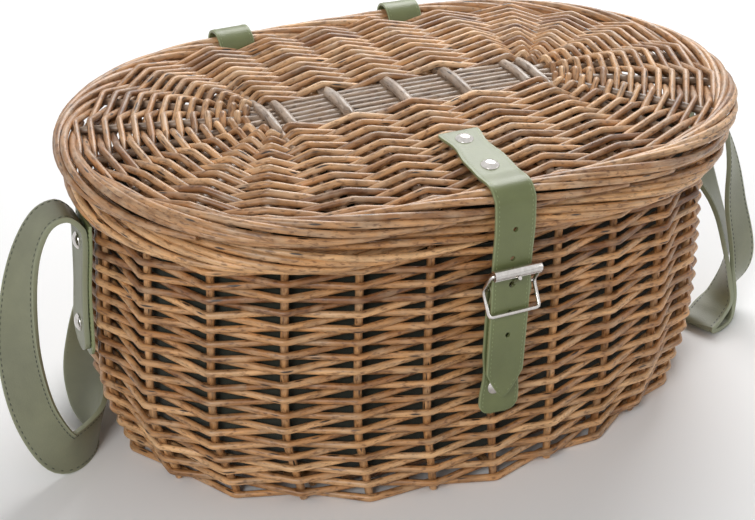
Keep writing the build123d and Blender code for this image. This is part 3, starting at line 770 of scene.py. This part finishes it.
fittings = {  # the buckle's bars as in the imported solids
    "barY": -162.975,
    "barZ": 161.0,
    "rollerY": -173.975,
    "rollerZ": 176.8,
    "keeperY": -172.075,
    "keeperZ": 145.2,
    "tailY": -168.775,
    "frontY": -164.075,
    "skin": -158.175,  # of the wall, where the straps lie
    "leather": 2.0,
    "stitchInset": 2.4,
    "buckleHalf": 18.6,
    "wire": 1.3,
    "prong": 1.35,
    "roller": 3.5,
    "rollerLength": 34.0,
    "lidRivets": ((-100.0, 3.9), (-137.0, 5.3)),  # y, and tilt in degrees
    "chapeRivets": ((-8.2, 85.0), (-3.0, 112.0)),  # x and z
}
closureForm = {
    "half": 15.0,
    "narrows": 1.7,  # by its end
    "waist": (0, 40, 2.6),  # start, length and depth
    "point": 19.0,
    "split": (0.2215, 0.196),  # heights in m at the lid's edge
    "holes": (  # x, z and radius; the prong's is the third
        (-1.4, 206.8, 1.8), (-1.4, 184.5, 1.8), (-1.0, 165.2, 2.4), (-2.3, 144.5, 1.8), (-3.1, 127.5, 1.8),
    ),
}
overLid = plan["panelLevel"] + lidPanel["swing"] + lidPanel["rod"]  # top of the lid's weave


def closureStops():
    edgeY, level, radius = -plan["lidLine"][1], plan["lidLevel"], plan["reach"] + 1.6
    rest = overLid + 0.3 + fittings["leather"] / 2
    stops = domed([Vector((-1.5, y, rest)) for y in (-88, -98, -112, -136, -147)])
    for turn in (90, 120, 150, 172):
        angle = radians(turn)
        stops.append(Vector((-1.5, edgeY + radius * cos(angle), level + radius * sin(angle))))
    tailY = fittings["tailY"]
    stops += [(-1.4, -171.6, 206), (-1.3, -169.6, 190), (-1.4, tailY, 176), (-2.0, tailY, 150)]
    stops += [(-3.6, tailY, 115), (-5.2, tailY, 80)]
    return [(*s, 1, 0, 0) for s in stops]


closureLine = Strip(closureStops(), 150)


def closureHalf(share):
    run, toTip = share * closureLine.length, (1 - share) * closureLine.length
    half = closureForm["half"] - closureForm["narrows"] * share - waist(run, *closureForm["waist"])
    if run < 3:
        half -= 0.8 * (1 - run / 3) ** 2
    if toTip < closureForm["point"]:
        half *= 0.06 + 0.94 * (toTip / closureForm["point"]) ** 0.72
    return half


def upright(x, y, z):
    return Matrix.Translation((x * mm, y * mm, z * mm)) @ Matrix.Rotation(radians(90), 4, "X")


stitchOut = fittings["leather"] / 2 - 0.02
closureHoles = [(upright(x, fittings["tailY"], z), radius) for x, z, radius in closureForm["holes"]]
for piece in (
    cutStrap(
        "closureStrap", closureLine, closureHalf, None, ("closure_strap", "closure_tail"), holes=closureHoles
    ),
    sewEdges("closureStitches", closureLine, closureHalf, None, stitchOut, (0.012, 0.985)),
):
    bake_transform(piece)

# the buckle's own strap, folded round its centre bar

skin, bar, front = fittings["skin"], fittings["barY"], fittings["frontY"] + 1.3
chapeStops = [
    (0, skin - 1.7, 100), (0, skin - 1.75, 120), (0, skin - 1.9, 145), (0, bar + 3.1, 157),
    (0, bar + 3.1, 161), (0, bar + 2.2, 163.2), (0, bar, 164.1), (0, bar - 2.2, 163.2),
    (0, bar - 3.1, 161), (0, bar - 3.0, 156), (-1.4, front, 142), (-3.0, front, 110), (-5.6, front, 64),
]
chapeLine = Strip([(*stop, 1, 0, 0) for stop in chapeStops], 150)


def chapeHalf(share):
    toEnd, corner = (1 - share) * chapeLine.length, 9.0
    half = 14.6 - waist(toEnd, 12, 38, 1.6)
    if toEnd < corner:
        half = max(5.2, half - corner + sqrt(max(0, corner ** 2 - (corner - toEnd) ** 2)))
    return half


cutStrap("buckleStrap", chapeLine, chapeHalf, "basket", ("buckle_strap",))
sewEdges("buckleStitches", chapeLine, chapeHalf, "basket", -stitchOut, (0.55, 0.97), (1,))

# hinge loops round both borders, at the back

loopBand = {
    "place": 71.0,
    "drift": -2.5,
    "half": 14.0,
    "inset": 5.0,  # of the basket's border from the lid's
    "clear": 0.5,
    "turns": (0, 35, 70, 105),  # degrees of the lid for which its border stays free of the loop
}


def hullOutline(circles, count):
    points = sorted(
        (cx + r * cos(t), cy + r * sin(t))
        for cx, cy, r in circles
        for t in np.linspace(0, 2 * pi, 72, endpoint=False)
    )

    def chain(row):
        out = []
        for x, y in row:
            while len(out) > 1:
                (ax, ay), (bx, by) = out[-2:]
                if (bx - ax) * (y - ay) - (by - ay) * (x - ax) > 0:
                    break
                out.pop()
            out.append((x, y))
        return out[:-1]

    ring = chain(points) + chain(points[::-1])
    return spaced(np.array(ring + ring[:1]), count)[0]


def hingeBand(name, place, cadNode, settings):
    side, reach = sideRadius(*plan["lidLine"]), plan["reach"] + fittings["leather"] / 2
    outward = Vector((place / side, sqrt(1 - (place / side) ** 2), 0))
    edge = Vector((0, plan["lidLine"][1] - side, 0)) + outward * side
    circles = [(-settings["inset"], plan["rimLevel"], reach + 0.3)]
    for x in (place - settings["half"], place, place + settings["half"]):
        slack = side - sqrt(side ** 2 - x ** 2)
        for turn in settings["turns"]:
            lift, back = slack * sin(radians(turn)), slack * cos(radians(turn))
            shift = Vector((x, plan["lidLine"][1] - back, 0)) - edge
            circles.append((shift.dot(outward), plan["lidLevel"] + lift, reach + settings["clear"]))
    ring = hullOutline(circles, 97)
    ring = np.concatenate([ring[48:], ring[1:49]])  # its ends meet out of sight
    stops = [(*(edge + outward * r + Vector((0, 0, z))), outward.y, -outward.x, 0) for r, z in ring]
    line, half = Strip(stops, 110), lambda share: settings["half"]
    cutStrap(name, line, half, "basket", (cadNode,))
    sewEdges(name + "Stitches", line, half, "basket", stitchOut, pitch=3.4)


hingeBand("leftHingeLoop", loopBand["drift"] - loopBand["place"], "left_hinge_loop", loopBand)
hingeBand("rightHingeLoop", loopBand["drift"] + loopBand["place"], "right_hinge_loop", loopBand)
print("closure and loops made")

# end patches and the carrying strap

carry = {
    "patchX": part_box("right_end_patch")[0].x / mm,
    "patchStops": (82, 100, 130, 160, 186),
    "patchRun": 101.0,  # over which the patch's outline is drawn
    "patchHalf": 17.5,
    "leanAt": (82.0, 106.0, 169.5, 186.0),
    "lean": {-1: (2.6, 2.4, -2.3, -3.0), 1: (-4.6, -5.2, -6.7, -6.9)},  # outwards, on the left and right
    "rivets": (106.0, 169.0),
    "half": 15.5,
    "endHalf": 14.5,
    "thick": 4.2,
    "ply": 3.6,
    "onPatch": (86, 110, 140, 176),
    "arch": (  # from the left patch outwards: place and width direction
        (2.5, 0, 186, 0, 1, 0), (12, 0, 193.5, -0.05, 1, 0), (26, -1, 188, -0.15, 1, -0.05),
        (39, -4, 166, -0.35, 0.93, -0.15), (48, -8, 132, -0.6, 0.8, -0.2), (52, -13, 92, -0.8, 0.55, -0.2),
        (47, -18, 50, -0.9, 0.32, -0.25), (33, -24, 20, -0.72, -0.1, -0.62),
        (14, -14, 15, -0.35, -0.3, -0.86),
    ),
    "behind": (
        (-238, 10, 15.5, -0.3, -0.05, -0.95), (-237, 44, 20, -0.8, 0.2, -0.55),
        (-229, 75, 34, -0.85, 0.45, 0.2),
        (-207, 113, 58, -0.45, 0.4, 0.8), (-170, 147, 82, -0.1, 0.1, 0.98), (-110, 170, 104, 0, 0, 1),
        (0, 177.28, 118, 0, 0, 1), (120, 174.28, 124, 0, 0, 1), (200, 138, 130, 0.15, -0.1, 0.98),
        (246, 80, 138, 0.6, -0.3, 0.74), (266, 36, 128, 0.93, 0.2, 0.3), (278, 4, 92, 0.7, 0.65, -0.2),
        (281, -16, 52, 0.6, 0.75, -0.2), (270, -28, 22, 0.2, 0.97, 0), (254, -36, 11, -0.2, 0.97, 0),
        (239, -43, 5.7, -0.36, 0.93, 0), (254, -37, 2.6, -0.36, 0.93, 0), (271, -30, 9, 0.1, 0.98, 0),
        (291, -24, 44, 0.9, 0.4, -0.2),
    ),
    "returnArch": (  # to the right patch
        (51, -13, 92, 0.85, 0.45, -0.2), (46, -8, 132, 0.65, 0.7, -0.15), (36, -4, 166, 0.4, 0.9, -0.15),
        (26, -1, 188, 0.15, 1, -0.05), (12, 0, 193.5, 0.05, 1, 0), (2.5, 0, 186, 0, 1, 0),
    ),
}
strapOut = fittings["leather"] + 0.3 + carry["thick"] / 2


def endX(side, height, out):
    # the patch's inner face follows the wall; out is measured from it
    return side * (carry["patchX"] + float(np.interp(height, carry["leanAt"], carry["lean"][side])) + out)


def patchHalf(share):
    run = share * carry["patchRun"]
    if run < 14:
        return carry["patchHalf"] * roundEnd(run, 14, 14.6, 0.02)
    half = carry["patchHalf"] - waist(run, 14, 78, 4.2)
    return half - 0.9 * (max(0, run - 98) / 6) ** 2


for label, side in (("left", -1), ("right", 1)):
    line = Strip([(endX(side, z, stitchOut), 0, z, 0, side, 0) for z in carry["patchStops"]], 60)
    cutStrap(label + "EndPatch", line, patchHalf, "basket", (label + "_end_patch",))
    sewEdges(label + "PatchStitches", line, patchHalf, "basket", stitchOut, (0.03, 0.98), (1,), inset=2.0)


def carryStops():
    left, right = endX(-1, 176, strapOut), endX(1, 176, strapOut)
    stops = [(endX(-1, z, strapOut), 0, z, 0, 1, 0) for z in carry["onPatch"]]
    stops += [(left - x, *rest) for x, *rest in carry["arch"]]
    stops += carry["behind"]
    stops += [(right + x, *rest) for x, *rest in carry["returnArch"]]
    return stops + [(endX(1, z, strapOut), 0, z, 0, 1, 0) for z in reversed(carry["onPatch"])]


carryLine = Strip(carryStops(), 520)


def carryHalf(share):
    run = min(share, 1 - share) * carryLine.length
    if run < 12:
        return carry["endHalf"] * roundEnd(run, 12, 12.4, 0.03)
    narrow = 1 - (run - 12) / 78 + waist(run, 12, 78, 2.8) if run < 90 else 0
    return carry["half"] - narrow


cutStrap(
    "carryStrap", carryLine, carryHalf, "basket", ("shoulder_strap",), carry["ply"],
    [strapLeather, strapInside, leather], 0.4,
)
sewEdges(
    "carryStitches", carryLine, carryHalf, "basket", 1.72, (0.004, 0.996), pitch=4.0, inset=2.6,
    thread=threadDark,
)
print("carrying strap length", round(carryLine.length), "mm")

# metal: rivets, frame, roller and prong


def rivetHead(place, turn, radius=6.2, height=2.9):
    bpy.ops.mesh.primitive_uv_sphere_add(segments=28, ring_count=14, radius=1)
    head = bpy.context.object
    setMode("EDIT")
    bpy.ops.mesh.select_all(action="SELECT")
    bpy.ops.mesh.bisect(plane_co=(0, 0, 0), plane_no=(0, 0, 1), clear_inner=True, use_fill=True)
    bpy.ops.mesh.select_all(action="SELECT")
    bpy.ops.mesh.bisect(plane_co=(0, 0, 0.14), plane_no=(0, 0, 1))
    setMode("OBJECT")
    for v in head.data.vertices:
        flat = hypot(v.co.x, v.co.y)
        rise = (1 - flat ** 2.6) * 0.86 + 0.14 if v.co.z > 0.01 else 0.0
        v.co = (v.co.x * radius * mm, v.co.y * radius * mm, rise * height * mm)
    smoothUnder(50)
    head.data.transform(Matrix.Translation(place) @ turn)
    return head


def rivetPair(name, heads, body, cadNode):
    selectOnly(*heads)
    bpy.ops.object.join()
    finishPiece(heads[0], name, body, nickel, (cadNode,))


lidTop = overLid + 0.25 + fittings["leather"]
rivetPair("closureRivets", [
    rivetHead(domed([Vector((-2.3, y, lidTop))])[0] * mm, Matrix.Rotation(radians(tilt), 4, "X"))
    for y, tilt in fittings["lidRivets"]
], "lid", "closure_strap_rivets")
rivetPair("buckleStrapRivets", [
    rivetHead((0, 0, 0), upright(x, fittings["frontY"] + 0.35, z), 5.6, 2.2)
    for x, z in fittings["chapeRivets"]
], "basket", "buckle_strap_rivets")
for label, side in (("left", -1), ("right", 1)):
    turn = Matrix.Rotation(radians(90 * side), 4, "Y")
    out = strapOut + carry["thick"] / 2 - 0.35
    rivetPair(label + "PatchRivets", [
        rivetHead((endX(side, z, out) * mm, 0, z * mm), turn) for z in carry["rivets"]
    ], "basket", label + "_patch_rivets")


def bendWire(name, routes, radius, body, cadNode, sides=14):
    rods = []
    for corners, closed, soft in routes:
        points = softBends([Vector(c) for c in corners], closed, soft)
        rods.append((points, [radius] * len(points), closed, 0.5))
    layRods(name, rods, body, nickel, (cadNode,), sides)


def bendFrame():
    half = fittings["buckleHalf"]
    bars = [(fittings[bar + "Y"], fittings[bar + "Z"]) for bar in ("roller", "bar", "keeper")]
    rim = [(-half, *bar) for bar in bars] + [(half, *bar) for bar in reversed(bars)]
    routes = [(rim, True, 2.6), ([(-half, *bars[1]), (half, *bars[1])], False, 1.0)]
    bendWire("buckleFrame", routes, fittings["wire"], "buckle", "buckle_frame")


def bendProng():
    low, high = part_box("buckle_prong")
    y, z, reach = fittings["barY"], fittings["barZ"], 3.0
    ring = [
        (0, y + reach * cos(radians(t)), z + reach * sin(radians(t)))
        for t in (100, 50, 0, -50, -100, -150)
    ]
    route = ring + [(0, y - 4.2, z + 3.4), (0, low.y / mm + 1.3, high.z / mm - 1.2)]
    bendWire("buckleProng", [(route, False, 0.7)], fittings["prong"], "prong", "buckle_prong", 12)


def makeRoller():
    bpy.ops.mesh.primitive_cylinder_add(
        vertices=40, radius=fittings["roller"] * mm, depth=fittings["rollerLength"] * mm
    )
    roller = bpy.context.object

    def shift(depth):
        bpy.ops.mesh.extrude_region_shrink_fatten(TRANSFORM_OT_shrink_fatten={"value": -depth * mm})
        setMode("OBJECT")

    # a second skin inside it, then a low ridge along its lower side, for the seam of the rolled sheet
    setMode("EDIT")
    bpy.ops.mesh.select_mode(type="FACE")
    shift(1.2)
    for polygon in roller.data.polygons:
        angle = atan2(polygon.center.y, polygon.center.x)
        polygon.select = abs(polygon.normal.z) < 0.1 and abs(angle + radians(27)) < radians(4.6)
    setMode("EDIT")
    bpy.ops.mesh.inset(thickness=0.06 * mm)
    shift(0.35)
    applyModifier(roller, "BEVEL", width=0.25 * mm, segments=2, angle_limit=radians(50))
    smoothUnder(40)
    turn = Matrix.Rotation(radians(90), 4, "Y")
    roller.data.transform(Matrix.Translation((0, fittings["rollerY"] * mm, fittings["rollerZ"] * mm)) @ turn)
    finishPiece(roller, "buckleRoller", "roller", nickel, ("buckle_roller",))


bendFrame()
makeRoller()
bendProng()
print("metal made")

# lining and bottom

tub = {
    "cells": (192, 26),
    "top": 181.0,
    "low": 15.0,
    "floorShare": 0.25,  # of the grid's rows
    "inside": 10.3,  # from the line of the stakes
    "cloth": 1.1,
    "cutFrom": (0.74, 0.6),  # metres
}


def liningTub(settings):
    around, up = settings["cells"]
    bpy.ops.mesh.primitive_grid_add(x_subdivisions=around, y_subdivisions=up, size=2, calc_uvs=True)
    piece = bpy.context.object
    flat = (np.array([v.co for v in piece.data.vertices]) + 1) / 2
    low, high, floorShare = settings["low"], settings["top"], settings["floorShare"]
    for v, (share, rise, _) in zip(piece.data.vertices, flat):
        stake = share * plan["stakes"]
        if rise < floorShare:
            edge = wallPoint(stake, low, -settings["inside"] - 0.1)
            out = rise / floorShare
            place = Vector((edge.x * out, edge.y * out, low + 0.3 * sin(edge.x * 0.05)))
        else:
            height = low + (high - low) * (rise - floorShare) / (1 - floorShare)
            turn = share * 2 * pi
            fold = 0.55 * sin(turn * 31) + 0.4 * sin(turn * 13 + height * 0.05)
            hem = 0.5 if height > high - 6 else 0.0
            place = wallPoint(stake, height, min(0.5, fold * 0.6) - settings["inside"] - hem)
        v.co = place * mm
    uv = piece.data.uv_layers.active.data
    for loop in piece.data.loops:
        share, rise, _ = flat[loop.vertex_index]
        uv[loop.index].uv = (share * 1.2, rise * 0.25)
    faceOutwards(0.00001)
    applyModifier(piece, "SOLIDIFY", thickness=settings["cloth"] * mm, offset=0)
    smoothUnder(50)
    finishPiece(piece, "liningTub", "basket", cloth, ("lining",))


bottom = {
    "line": shrunk(plan["wallLevels"][0][2:], 9.4),
    "rows": 43,
    "pitch": 6.0,
    "level": 10.6,
    "rise": (-1.1, 1.4),  # over and under the sticks
    "rod": 2.6,
    "stickPlaces": (-120.0, -60.0, 0.0, 60.0, 120.0),
    "stick": 3.1,
    "stickLevel": 4.7,
}


def weaveBottom(settings):
    rods, line, level = [], settings["line"], settings["level"]
    for row in range(settings["rows"]):
        y = (row - settings["rows"] // 2) * settings["pitch"]
        halfX = ovalReach((0, y), 0, *line) if abs(y) < line[1] - 2 else 0
        if halfX < 30:
            continue
        corners = [Vector((-halfX, y, level))]
        for k, x in enumerate(settings["stickPlaces"]):
            if abs(x) < halfX - 4:
                corners.append(Vector((x, y, level + settings["rise"][(k + row) % 2])))
        corners.append(Vector((halfX, y, level)))
        points = softBends(corners, False, 4.0, 0.2)
        rods.append((points, [settings["rod"]] * len(points), False, chance.random()))
    layRods("bottomWeave", rods, "basket", willow, ("bottom_weave",), 6)
    sticks = []
    for x in settings["stickPlaces"]:
        reach = ovalReach((x, 0), 90, *line) - 2
        row = [Vector((x, y, settings["stickLevel"])) for y in np.linspace(-reach, reach, 7)]
        sticks.append((row, [settings["stick"]] * 7, False, chance.random()))
    layRods("bottomSticks", sticks, "basket", willow, ("bottom_sticks",))


liningTub(tub)
weaveBottom(bottom)
print("lining and bottom made")

# camera, light and ground

viewpoint = {
    "azimuth": 24.65,
    "elevation": 27.93,
    "distance": 1.2435,
    "focal": 1678.1,  # in pixels of the 755 wide picture
    "centre": (404.3, 234.1),
    "size": (755, 520),
}


def aim(thing, along):
    thing.rotation_mode = "QUATERNION"
    thing.rotation_quaternion = along.to_track_quat("-Z", "Y")


def placeCamera(settings):
    azimuth, elevation = radians(settings["azimuth"]), radians(settings["elevation"])
    flat = cos(elevation)
    away = Vector((-sin(azimuth) * flat, -cos(azimuth) * flat, sin(elevation)))
    bpy.ops.object.camera_add(location=Vector((0, 0, 0.12)) + away * settings["distance"])
    camera = bpy.context.object
    aim(camera, -away)
    width, height = settings["size"]
    camera.data.sensor_width = 36
    camera.data.lens = settings["focal"] / width * 36
    camera.data.shift_x = (width / 2 - settings["centre"][0]) / width
    camera.data.shift_y = (settings["centre"][1] - height / 2) / width
    camera.data.clip_start, camera.data.clip_end = 0.01, 50
    bpy.context.scene.camera = camera


def areaLight(name, place, target, size, power):
    bpy.ops.object.light_add(type="AREA", location=place)
    lamp = bpy.context.object
    lamp.name = name
    lamp.data.shape = "DISK"
    lamp.data.size = size
    lamp.data.energy = power
    aim(lamp, Vector(target) - Vector(place))


placeCamera(viewpoint)
areaLight("skyLamp", (0.9, 1.2, 1.7), (0, 0, 0.15), 1.6, 42)
areaLight("frontLamp", (-1.6, -1.6, 1.5), (0, 0, 0.1), 1.0, 28)
areaLight("sideLamp", (1.8, -0.9, 1.0), (0, 0, 0.1), 1.0, 4)

bpy.ops.mesh.primitive_plane_add(size=14, location=(0, 0, -0.0005))
ground = bpy.context.object
ground.name = "ground"
groundLook, _, shader = newMaterial("paleGround")
shader.inputs["Base Color"].default_value = (0.93, 0.93, 0.93, 1)
shader.inputs["Roughness"].default_value = 0.9
ground.data.materials.append(groundLook)

world = bpy.data.worlds.new("studio")
bpy.context.scene.world = world
world.use_nodes = True
tree = world.node_tree
path = addNode(tree, "LightPath")
seen = addNode(tree, "Math", [(path, "Is Camera Ray", 0), (path, "Is Glossy Ray", 1)], operation="MAXIMUM")
strength = addNode(tree, "Math", [(seen, "Value", 0)], operation="MULTIPLY_ADD")
strength.inputs[1].default_value = 0.72  # more where the camera sees it, straight or as a reflection
strength.inputs[2].default_value = 0.28
tree.links.new(strength.outputs["Value"], tree.nodes["Background"].inputs["Strength"])
tree.nodes["Background"].inputs["Color"].default_value = (1, 1, 1, 1)
bpy.context.scene.view_settings.view_transform = "Standard"
print("camera and light set")
